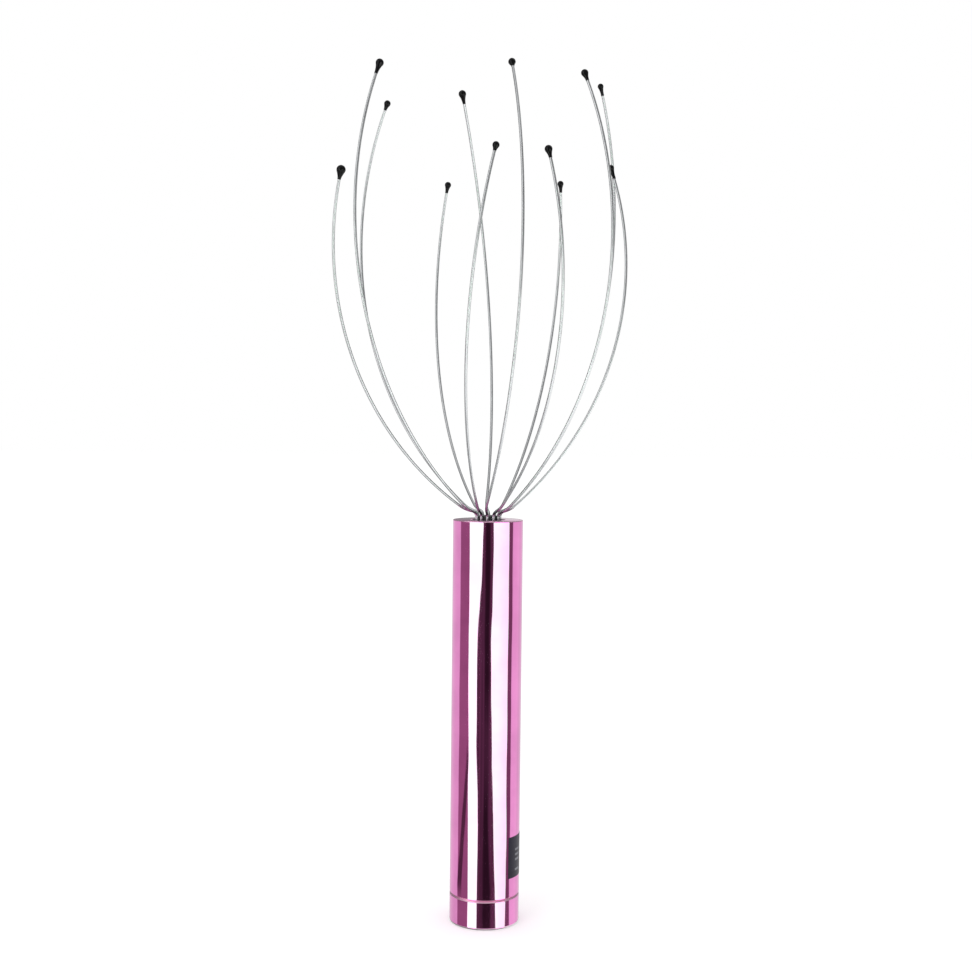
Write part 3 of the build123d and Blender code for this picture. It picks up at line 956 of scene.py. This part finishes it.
@dataclass
class EndCap:
    """The screw cap that closes the cell's bay and carries the push button."""

    workshop: Workshop
    seam: float = 8.4 * MM
    base_edge: float = 0.6 * MM
    base_segments: int = 8
    rim_chamfer: float = 0.5 * MM
    button_hole: float = 4.45 * MM
    floor: float = 1.6 * MM
    chamber: float = 5.8 * MM
    board_seat: float = 9.0 * MM
    cup: float = 7.4 * MM
    spigot: float = 9.1 * MM
    spigot_edge: float = 0.3 * MM
    spigot_segments: int = 3
    hole_segments: int = 2
    groove_room: float = 0.05 * MM
    seal_reach: float = 9.15 * MM
    thread_depth: float = 0.42 * MM
    thread_pitch: float = 1.2 * MM
    thread_steps: int = 96
    ridge_share: float = 0.36
    crest_shares: Span = (0.65, 1.35)

    def build(self) -> None:
        """Builds the cap's shell and its thread."""
        low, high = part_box("end_cap")
        seal_low, seal_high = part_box("seal_ring")
        groove = (seal_low.z - self.groove_room, seal_high.z + self.groove_room)
        groove_floor = self.seal_reach - (seal_high.z - seal_low.z) - self.groove_room
        core = self.spigot - self.thread_depth
        threaded = groove[1] + self.rim_chamfer
        outline = [
            (self.button_hole, low.z),
            (high.x, low.z),
            (high.x, self.seam),
            (self.spigot, self.seam),
            (self.spigot, groove[0]),
            (groove_floor, groove[0]),
            (groove_floor, groove[1]),
            (self.spigot, groove[1]),
            (self.spigot, threaded),
            (core, threaded),
            (core, high.z),
            (self.cup, high.z),
            (self.cup, self.board_seat),
            (self.chamber, self.board_seat),
            (self.chamber, self.floor),
            (self.button_hole, self.floor),
        ]
        shape = turned(outline, ROUND_STEPS)
        ease_rim(shape, high.x, low.z, self.base_edge, self.base_segments)
        ease_rim(shape, high.x, self.seam, self.rim_chamfer)
        ease_rim(shape, core, high.z, self.spigot_edge, self.spigot_segments)
        ease_rim(shape, self.button_hole, low.z, self.spigot_edge, self.hole_segments)
        rings = [low.z + self.base_edge + RING_ROOM, self.seam - self.rim_chamfer - RING_ROOM]
        add_rings(shape, rings)
        # The foot's downward faces take the darker edge finish: painted shade under the rim.
        mark_edges(shape, high.x, foot=2)
        piece = self.workshop.place(
            "cap_shell", smooth(shape), Slot.ANODISED_PINK, edges=[CUT_EDGE, SHADED_FOOT_EDGE]
        )
        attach(piece, "end_cap")
        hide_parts("end_cap")
        self._thread(core, threaded, high.z)

    def _thread(self, core: float, foot: float, top: float) -> None:
        """Winds the thread's ridge round the spigot.

        Args:
            core: The radius that the ridge stands on.
            foot: The height where the threaded stretch starts.
            top: The height where it ends.
        """
        crest = self.spigot - self.groove_room / 2
        root = core - self.thread_depth / 4
        half = self.thread_pitch * self.ridge_share
        turns = (top - foot - 2 * half) / self.thread_pitch
        shape = bmesh.new()
        corners = [(root, foot)]
        corners += [(crest, foot + half * share) for share in self.crest_shares]
        corners.append((root, foot + 2 * half))
        ring = [shape.verts.new((radius, 0, height)) for radius, height in corners]
        edges = [shape.edges.new(pair) for pair in zip(ring, ring[1:] + ring[:1])]
        steps = round(self.thread_steps * turns)
        bmesh.ops.spin(
            shape,
            geom=ring + edges,
            cent=(0, 0, 0),
            axis=(0, 0, 1),
            dvec=(0, 0, self.thread_pitch * turns / steps),
            angle=math.tau * turns,
            steps=steps,
        )
        bmesh.ops.holes_fill(shape, edges=shape.edges)
        bmesh.ops.recalc_face_normals(shape, faces=shape.faces)
        piece = self.workshop.place("cap_thread", smooth(shape), Slot.ANODISED_PINK)
        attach(piece, "end_cap")


# ------------------------------------------------------------------ wire cage


@dataclass(frozen=True)
class FingerBend:
    """How one wire is bent, in degrees, and its own shares of the usual sizes."""

    lean: float
    set_roll: float
    bow_roll: float
    bow: float
    drop: float
    tail: float


@dataclass
class WireCage:
    """Twelve spring wires, long and short by turns, each tipped with a drop."""

    workshop: Workshop
    wire_radius: float = 0.392 * MM
    wire_sides: int = 20
    least_rings: int = 8
    sink: float = 0.5 * MM
    neck: float = 0.9 * MM
    lip_radius: float = 1.5 * MM
    set_radius: float = 9.0 * MM
    set_angle: float = 26.0
    short_bow: Span = (92.0 * MM, 105.0 * MM)
    long_bow: Span = (102.0 * MM, 131.0 * MM)
    ring_gap: float = 1.6 * MM
    flex_share: float = 0.1
    drop_diameter: float = 2.0 * MM
    drop_room: float = 0.012 * MM
    drop_shoulder: float = 26.0
    drop_sides: int = 40
    drop_rings: int = 14
    tail_rings: int = 9
    tail_bore_share: float = 0.9
    tail_radius: float = 0.458 * MM
    tail_pull: Span = (0.85, 0.22)
    bends: tuple[FingerBend, ...] = (
        FingerBend(74, -5, -1, 1.015, 0.95, 1.75),
        FingerBend(81, -13, 17, 1.085, 0.9, 1.55),
        FingerBend(75, -17, 26, 1.02, 0.95, 1.35),
        FingerBend(61, 45, -69, 1.01, 1.15, 1.3),
        FingerBend(79, 28, -28, 1.075, 1.0, 1.25),
        FingerBend(79, 2, 2, 1.02, 1.0, 1.05),
        FingerBend(79, -22, 16, 0.995, 1.25, 1.05),
        FingerBend(77, -6, 8, 1.005, 1.1, 1.5),
        FingerBend(74, -9, 1, 1.0, 0.95, 0.9),
        FingerBend(52, -48, 67, 1.005, 1.05, 0.85),
        FingerBend(75, -9, 18, 0.995, 1.05, 1.15),
        FingerBend(74, -5, 9, 0.975, 1.0, 1.15),
    )
    joints: dict[str, dict] = field(default_factory=dict)

    def build(self) -> None:
        """Builds every wire and its drop."""
        self.joints = {joint["name"]: joint for joint in self.workshop.frame["joints"]}
        for number, bend in zip(FINGER_NUMBERS, self.bends):
            self._finger(number, bend, is_long=int(number) % 2 == 0)

    def _finger(self, number: str, bend: FingerBend, is_long: bool) -> None:
        """Builds one wire and its drop.

        Args:
            number: The finger's number, as in its node's name.
            bend: How it is bent.
            is_long: Whether it is one of the long wires.
        """
        joint = self.joints[f"finger_{number}_flex"]
        body = joint["child"]
        root = Vector(joint["pos_m"])
        sideways = Vector(joint["axis"]).normalized()
        shape, end, along = self._wire(root, sideways, bend, is_long)
        wire = self.workshop.place(f"spring_wire_{number}", smooth(shape), Slot.SPRING_STEEL)
        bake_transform(wire)
        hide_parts(f"wire_{number}")
        drop = self._drop(bend, end, along)
        piece = self.workshop.place(f"resin_drop_{number}", smooth(drop), Slot.DROP_BLACK)
        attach(piece, body)
        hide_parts(f"tip_{number}")

    def _wire(
        self, root: Vector, sideways: Vector, bend: FingerBend, is_long: bool
    ) -> tuple[Shape, Vector, Vector]:
        """Bends one wire by spinning its round section along its curves.

        Args:
            root: Where it leaves the hub.
            sideways: The axis that its lip turns about.
            bend: How it is bent.
            is_long: Whether it is one of the long wires.

        Returns:
            The wire's shape, its end and the direction that it ends in.
        """
        shape = bmesh.new()
        foot = root - Vector((0, 0, self.sink))
        bmesh.ops.create_circle(
            shape,
            segments=self.wire_sides,
            radius=self.wire_radius,
            matrix=Matrix.Translation(foot),
        )
        section = list(shape.edges)
        bmesh.ops.edgeloop_fill(shape, edges=section)
        rise = bmesh.ops.extrude_edge_only(shape, edges=section)["geom"]
        verts = [item for item in rise if isinstance(item, bmesh.types.BMVert)]
        bmesh.ops.translate(shape, verts=verts, vec=(0, 0, self.sink + self.neck))
        section = edges_of(rise, boundary=True)

        point, along = root + Vector((0, 0, self.neck)), Vector((0, 0, 1))
        inward = sideways.cross(along)
        bow_radius, bow_length = self.long_bow if is_long else self.short_bow
        curves = [
            (self.lip_radius, bend.lean, 180.0 + bend.set_roll),
            (self.set_radius, self.set_angle, bend.bow_roll),
            (bow_radius, math.degrees(bend.bow * bow_length / bow_radius), 0.0),
        ]
        axis, towards = sideways, inward
        for bend_radius, turn, roll_after in curves:
            centre = point + towards * bend_radius
            angle = math.radians(turn)
            steps = max(self.least_rings, round(angle * bend_radius / self.ring_gap))
            spun = bmesh.ops.spin(
                shape, geom=section, cent=centre, axis=axis, angle=angle, steps=steps
            )
            section = edges_of(spun["geom_last"])
            rotation = Matrix.Rotation(angle, 3, axis)
            point = centre + rotation @ (point - centre)
            along = rotation @ along
            rolled = Matrix.Rotation(math.radians(roll_after), 3, along)
            axis, towards = rolled @ axis, rolled @ rotation @ towards
        bmesh.ops.edgeloop_fill(shape, edges=section)
        bmesh.ops.remove_doubles(shape, verts=shape.verts, dist=WELD)
        bmesh.ops.recalc_face_normals(shape, faces=shape.faces)
        return shape, point, along

    def _drop(self, bend: FingerBend, end: Vector, along: Vector) -> Shape:
        """Turns one drop and sets it on its wire's end.

        Args:
            bend: The wire's own shares, which size its drop.
            end: The wire's end, which is the centre of the drop's round head.
            along: The direction that the wire ends in.

        Returns:
            The drop's shape.
        """
        head = bend.drop * self.drop_diameter / 2 - self.drop_room
        tail = bend.tail * bend.drop * self.drop_diameter
        start = -math.radians(self.drop_shoulder)
        foot = Vector((self.tail_radius, -tail))
        shoulder = Vector((math.cos(start), math.sin(start))) * head
        downwards = Vector((math.sin(start), -math.cos(start)))
        head_pull, foot_pull = self.tail_pull
        taper = interpolate_bezier(
            foot,
            foot + Vector((0, (shoulder.y - foot.y) * foot_pull)),
            shoulder + downwards * head * head_pull,
            shoulder,
            self.tail_rings,
        )
        outline = [(self.wire_radius * self.tail_bore_share, -tail)]
        outline += [(corner.x, corner.y) for corner in taper[:-1]]
        sweep = math.pi / 2 - start
        arc = [start + sweep * ring / self.drop_rings for ring in range(self.drop_rings)]
        outline += [(head * math.cos(angle), head * math.sin(angle)) for angle in arc]
        outline.append((0.0, head))
        shape = turned(outline, self.drop_sides, closed=False)
        upright = along.to_track_quat("Z", "Y").to_matrix().to_4x4()
        bmesh.ops.transform(shape, matrix=Matrix.Translation(end) @ upright, verts=shape.verts)
        return shape


# ------------------------------------------------------------------ inner pieces


@dataclass
class CarriedPieces:
    """The nodes whose own shape is right: they only get their finishes."""

    workshop: Workshop
    replaced: set[str]

    def build(self) -> None:
        """Dresses each carried-over node in its slot's finish."""
        for subpart in self.workshop.frame["record"]["subparts"]:
            if subpart["node"] not in self.replaced:
                self.workshop.dress(subpart["node"], Slot(subpart["material_slot"]))


# ------------------------------------------------------------------ surroundings


@dataclass(frozen=True)
class Card:
    """An upright card, softbox or flag, which polished surfaces mirror."""

    level: Level
    start: Level
    end: Level
    soft: float = 1.2


@dataclass
class Surroundings:
    """The cards, softboxes and flags round the object, which only mirrors see.

    Angles are in degrees: azimuths round the object from its front, positive to the
    right, and elevations above the horizon. A run holds two inputs, such as angles,
    and the value at each. The azimuth wavers a little, so that upright edges aren't
    ruled lines.
    """

    kit: NodeKit
    azimuth: Socket | None = field(init=False, default=None)
    elevation: Socket | None = field(init=False, default=None)
    waver: Cloud = Cloud(0.16, squeeze=(1, 1, 4))
    waver_run: Run = ((0.2, 0.8), (-2.0, 2.0))
    crisp: float = 0.6
    backdrop: float = 0.86
    cards: tuple[Card, ...] = (
        Card(0.55, 166.0, 200.0, 8.0),
        Card(0.55, -200.0, -166.0, 8.0),
        Card(0.98, 94.0, 128.0, 6.0),
        Card(0.34, -100.0, -56.0),
    )
    right_box: Card = Card(3.3, 10.0, 75.0, 0.6)
    right_card: Card = Card(0.2, 75.0, 91.0, 0.8)
    right_fade: Run = ((35.0, 75.0), (1.0, 0.8))
    right_fade_span: Span = (12.0, 75.0)
    right_fade_soft: float = 1.2
    left_box: float = 3.7
    left_box_start: Run = ((-16.0, -9.5), (-56.5, -61.5))
    left_box_end: float = 0.0
    slant_level: float = 0.09
    slant_middle: Run = ((-18.0, -13.5), (-92.0, -62.0))
    slant_half: Run = ((-17.0, -13.5), (9.5, 4.5))
    slant_reach: Span = (-18.3, -13.0)
    slant_soft: Span = (1.6, 0.5)
    flag_left: tuple[Span, ...] = (
        (-19.5, -24.5),
        (-17.5, -25.0),
        (-15.8, -23.0),
        (-14.0, -27.5),
        (-12.6, -31.5),
        (-9.5, -31.5),
        (-7.6, -27.5),
        (-6.4, -20.5),
        (-4.2, -15.0),
    )
    flag_right: tuple[Span, ...] = (
        (-19.5, 38.5),
        (-16.5, 29.5),
        (-13.5, 20.5),
        (-11.0, 17.0),
        (-8.6, 14.5),
        (-6.6, 18.0),
        (-4.2, 19.0),
    )
    flag_span: Span = (-20.0, 0.0)
    flag_limit: float = 45.0
    folds: Cloud = Cloud(0.11, squeeze=(1, 1, 0.6))
    folds_run: Run = ((0.35, 0.65), (0.075, 0.115))
    core_level: float = 0.026
    core_start: float = -7.0
    core_end: Run = ((-19.0, -15.5), (21.0, 9.5))
    core_soft: float = 4.5
    waist: float = 12.8
    waist_run: Run = ((0.5, 2.5), (0.4, 1.0))
    trim_width: float = 3.0
    trim_soft: float = 0.4
    tone_reach: Span = (-22.0, -2.5)
    tone_soft: float = 1.0
    rose_run: Run = ((0.35, 0.75), (1.0, 0.0))
    room: float = 0.3
    room_cards: tuple[Card, ...] = (
        Card(1.8, -80.0, -25.0, 9.0),
        Card(0.4, 30.0, 105.0, 9.0),
        Card(0.75, 150.0, 185.0, 9.0),
    )
    room_share: Run = ((-3.6, -0.4), (0.0, 1.0))
    ceiling: float = 0.85
    ceiling_share: Run = ((45.0, 62.0), (0.0, 1.0))
    table: float = 1.85
    table_left: Card = Card(0.75, -185.0, -30.0, 8.0)
    table_near: float = 0.42
    table_far_share: Run = ((-60.0, -46.0), (0.0, 1.0))
    table_share: Run = ((-23.0, -20.5), (1.0, 0.0))

    def __post_init__(self) -> None:
        """Finds the azimuth and the elevation of the direction that is mirrored."""
        kit = self.kit
        axes = kit.node("SeparateXYZ", kit.place).outputs
        ahead = kit.calc("MULTIPLY", axes[1], -1.0)
        azimuth = kit.calc("DEGREES", kit.calc("ARCTAN2", axes[0], ahead))
        waver = kit.remap(kit.noise(self.waver), *self.waver_run)
        self.azimuth = kit.calc("ADD", azimuth, waver)
        self.elevation = kit.calc("DEGREES", kit.calc("ARCSINE", axes[2]))

    def mirrored(self) -> tuple[Socket, Socket]:
        """Works out how bright the surroundings are in each direction.

        Returns:
            The level that a mirror sees, and its tone: 0 rose, 0.5 plain and 1 trimmed.
        """
        kit = self.kit
        level: Level = self.backdrop
        for card in (*self.cards, self.right_box, self.right_card):
            level = self._lay(level, card)
        left_start = kit.remap(self.elevation, *self.left_box_start)
        level = self._lay(level, Card(self.left_box, left_start, self.left_box_end, self.crisp))
        fade = kit.remap(self.azimuth, *self.right_fade)
        inside = self._band(self.azimuth, *self.right_fade_span, self.right_fade_soft)
        level = kit.calc("MULTIPLY", level, kit.blend(inside, 1.0, fade))
        level = self._slanted_flag(level)
        left, right = self._flag_edge(self.flag_left), self._flag_edge(self.flag_right)
        level = self._front_flag(level, left, right)
        tone = self._tone(level, (left_start, left, right, self.right_box.end))
        return self._above(self._below(level)), tone

    def _band(self, angle: Socket, start: Level, end: Level, soft: float) -> Socket:
        """Gives 1 between two angles and 0 outside them, with soft edges.

        Args:
            angle: The azimuth or the elevation.
            start: The lower limit.
            end: The upper limit.
            soft: How far each edge reaches to both sides.

        Returns:
            The band.
        """
        limits = []
        for edge in (start, end):
            before, after = self.kit.calc("SUBTRACT", edge, soft), self.kit.calc("ADD", edge, soft)
            limits.append((before, after))
        enter = self.kit.remap(angle, limits[0], (0.0, 1.0), smooth=True)
        leave = self.kit.remap(angle, limits[1], (1.0, 0.0), smooth=True)
        return self.kit.calc("MULTIPLY", enter, leave)

    def _lay(self, level: Level, card: Card) -> Socket:
        """Lays one card over what is mirrored so far."""
        band = self._band(self.azimuth, card.start, card.end, card.soft)
        return self.kit.blend(band, level, card.level)

    def _slanted_flag(self, level: Socket) -> Socket:
        """Lays a slanting flag low on the left, which widens downwards."""
        kit = self.kit
        middle = kit.remap(self.elevation, *self.slant_middle)
        half = kit.remap(self.elevation, *self.slant_half)
        start, end = kit.calc("SUBTRACT", middle, half), kit.calc("ADD", middle, half)
        across = self._band(self.azimuth, start, end, self.slant_soft[0])
        upwards = self._band(self.elevation, *self.slant_reach, self.slant_soft[1])
        return kit.blend(kit.calc("MULTIPLY", across, upwards), level, self.slant_level)

    def _flag_edge(self, stops: Sequence[Span]) -> Socket:
        """Gives an upright edge that bends.

        Args:
            stops: Each elevation and the edge's azimuth there, upwards.

        Returns:
            The edge's azimuth.
        """
        low, high = self.flag_span
        greys = []
        for height, angle in stops:
            grey = (angle + self.flag_limit) / (2 * self.flag_limit)
            greys.append(((height - low) / (high - low), (grey, grey, grey)))
        place = self.kit.remap(self.elevation, self.flag_span, (0.0, 1.0))
        edge = self.kit.shades(place, greys, "LINEAR")
        return self.kit.blend(edge, -self.flag_limit, self.flag_limit)

    def _front_flag(self, level: Socket, left: Socket, right: Socket) -> Socket:
        """Lays the dark flag in front, darkest along a line down its middle.

        Args:
            level: What is mirrored so far.
            left: The azimuth of the flag's left edge.
            right: The azimuth of its right edge.

        Returns:
            The new level.
        """
        kit = self.kit
        flank = kit.remap(kit.noise(self.folds), *self.folds_run)
        core_end = kit.remap(self.elevation, *self.core_end)
        core = self._band(self.azimuth, self.core_start, core_end, self.core_soft)
        from_waist = kit.calc("ABSOLUTE", kit.calc("ADD", self.elevation, self.waist))
        core = kit.calc("MULTIPLY", core, kit.remap(from_waist, *self.waist_run))
        dark = kit.blend(core, flank, self.core_level)
        return self._lay(level, Card(dark, left, right, self.crisp))

    def _tone(self, level: Socket, edges: Sequence[Level]) -> Socket:
        """Lines the dark cards with rose paper and trims the softboxes.

        The pink tube takes most of the green out of what it mirrors. Where a softbox
        ends, a strip of gel just inside its edge gives it back, so that the box's
        image ends in white.

        Args:
            level: How bright the cards and boxes are.
            edges: Where the left box starts and ends, and the right one likewise.

        Returns:
            The tone: 0 rose, 0.5 plain and 1 trimmed.
        """
        kit = self.kit
        strips: Level = 0.0
        for edge, side in zip(edges, (1, -1, 1, -1)):
            limits = (edge, kit.calc("ADD", edge, side * self.trim_width))
            strip = self._band(self.azimuth, *limits[::side], self.trim_soft)
            strips = kit.calc("MAXIMUM", strips, strip)
        reach = self._band(self.elevation, *self.tone_reach, self.tone_soft)
        shaded = kit.calc("MULTIPLY", kit.remap(level, *self.rose_run), reach)
        tone = kit.calc("MULTIPLY_ADD", shaded, -PLAIN_TONE, PLAIN_TONE)
        return kit.blend(kit.calc("MULTIPLY", strips, reach), tone, 1.0)

    def _above(self, level: Socket) -> Socket:
        """Lets the cards fade above the horizon into a calmer room."""
        kit = self.kit
        room: Level = self.room
        for card in self.room_cards:
            room = self._lay(room, card)
        overhead = kit.remap(self.elevation, *self.ceiling_share, smooth=True)
        room = kit.blend(overhead, room, self.ceiling)
        return kit.blend(kit.remap(self.elevation, *self.room_share, smooth=True), level, room)

    def _below(self, level: Socket) -> Socket:
        """Ends the cards in a table top: bright but for its left, and grey close by."""
        kit = self.kit
        far = kit.remap(self.elevation, *self.table_far_share, smooth=True)
        table = kit.blend(far, self.table_near, self._lay(self.table, self.table_left))
        return kit.blend(kit.remap(self.elevation, *self.table_share, smooth=True), level, table)


# ------------------------------------------------------------------ studio


@dataclass
class Studio:
    """A pale floor, soft light, the surroundings and the camera."""

    plain_level: float = 0.95
    trim: Colour = (0.34, 1.0, 0.47)
    rose: Colour = (1.0, 0.62, 0.82)
    floor_size: float = 12.0
    floor_squares: int = 8
    floor_colour: Colour = (0.90, 0.90, 0.90)
    floor_tint: float = 0.995
    floor_speckle: Cloud = Cloud(0.3)
    floor_spread: Span = (0.3, 0.7)
    floor_roughness: float = 0.9
    floor_lift: float = 0.22
    key_size: float = 0.5
    key_power: float = 1.6
    key_place: tuple[float, float, float] = (-0.55, -0.75, 0.85)
    key_aim: tuple[float, float, float] = (0.0, 0.0, 0.12)
    lens: float = 52.9
    eye: tuple[float, float, float] = (-0.0007, -0.409, 0.1433)
    pitch: float = 2.52
    roll: float = 0.6

    def build(self) -> None:
        """Builds the floor, the light, the surroundings and the camera."""
        self._floor()
        self._key_light()
        self._world()
        self._camera()

    def _floor(self) -> None:
        """Lays the pale floor, which keeps the object's shadow."""
        shape = bmesh.new()
        bmesh.ops.create_grid(
            shape,
            x_segments=self.floor_squares,
            y_segments=self.floor_squares,
            size=self.floor_size / 2,
        )
        mesh = bpy.data.meshes.new("studio_floor")
        shape.to_mesh(mesh)
        shape.free()
        kit = SurfaceKit("studio_floor")
        speckle = kit.noise(self.floor_speckle)
        tints = (self.floor_tint, 1.0)
        seen = kit.node("LightPath").outputs["Is Camera Ray"]
        kit.set(
            Base_Color=kit.tinted(speckle, self.floor_colour, self.floor_spread, tints),
            Roughness=self.floor_roughness,
            Specular_IOR_Level=0.0,
            Emission_Color=(*WHITE, 1.0),
            Emission_Strength=kit.calc("MULTIPLY", seen, self.floor_lift),
        )
        mesh.materials.append(kit.material)
        floor = bpy.data.objects.new("studio_floor", mesh)
        floor.visible_glossy = False
        bpy.context.scene.collection.objects.link(floor)

    def _key_light(self) -> None:
        """Hangs one large soft lamp in front, on the left."""
        lamp = bpy.data.lights.new("key_softbox", "AREA")
        lamp.shape = "SQUARE"
        lamp.size = self.key_size
        lamp.energy = self.key_power
        holder = bpy.data.objects.new("key_softbox", lamp)
        holder.location = self.key_place
        aim = Vector(self.key_aim) - holder.location
        holder.rotation_euler = aim.to_track_quat("-Z", "Y").to_euler()
        holder.visible_glossy = False
        bpy.context.scene.collection.objects.link(holder)

    def _world(self) -> None:
        """Sets the world: white to the eye, plain to matt surfaces, cards to mirrors."""
        world = bpy.data.worlds.new("studio")
        world.use_nodes = True
        world.cycles.sampling_method = "NONE"
        bpy.context.scene.world = world
        kit = NodeKit(world.node_tree, "Generated")
        ray = kit.node("LightPath").outputs
        mirrored, tone = Surroundings(kit).mirrored()
        level = kit.blend(ray["Is Glossy Ray"], self.plain_level, mirrored)
        level = kit.blend(ray["Is Camera Ray"], level, 1.0)
        tone = kit.blend(ray["Is Glossy Ray"], PLAIN_TONE, tone)
        gels = [(0.0, self.rose), (PLAIN_TONE, WHITE), (1.0, self.trim)]
        gel = kit.shades(tone, gels, "LINEAR")
        lit = kit.node("VectorMath", gel, level, operation="MULTIPLY").outputs[0]
        kit.feed(world.node_tree.nodes["Background"].inputs["Color"], lit)

    def _camera(self) -> None:
        """Stands the camera level with the cage, looking slightly down."""
        camera = bpy.data.cameras.new("camera")
        camera.lens = self.lens
        camera.clip_start = 10 * MM
        eye = bpy.data.objects.new("camera", camera)
        tilt = Matrix.Rotation(math.radians(90 - self.pitch), 4, "X")
        lean = Matrix.Rotation(math.radians(self.roll), 4, "Z")
        eye.matrix_world = Matrix.Translation(self.eye) @ tilt @ lean
        bpy.context.scene.collection.objects.link(eye)
        bpy.context.scene.camera = eye


# ------------------------------------------------------------------ the whole


def main() -> None:
    """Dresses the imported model, sub-assembly by sub-assembly."""
    logging.basicConfig(level=logging.INFO, format="%(message)s")
    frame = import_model()
    bpy.context.scene.view_settings.view_transform = "Standard"
    workshop = Workshop(frame)
    replaced = {"handle_tube", "top_cap", "end_cap"}
    for number in FINGER_NUMBERS:
        replaced |= {f"wire_{number}", f"tip_{number}"}
    parts: list[Handle | EndCap | WireCage | CarriedPieces | Studio] = [
        Handle(workshop),
        EndCap(workshop),
        WireCage(workshop),
        CarriedPieces(workshop, replaced),
        Studio(),
    ]
    for part in parts:
        part.build()


if __name__ == "__main__":
    main()
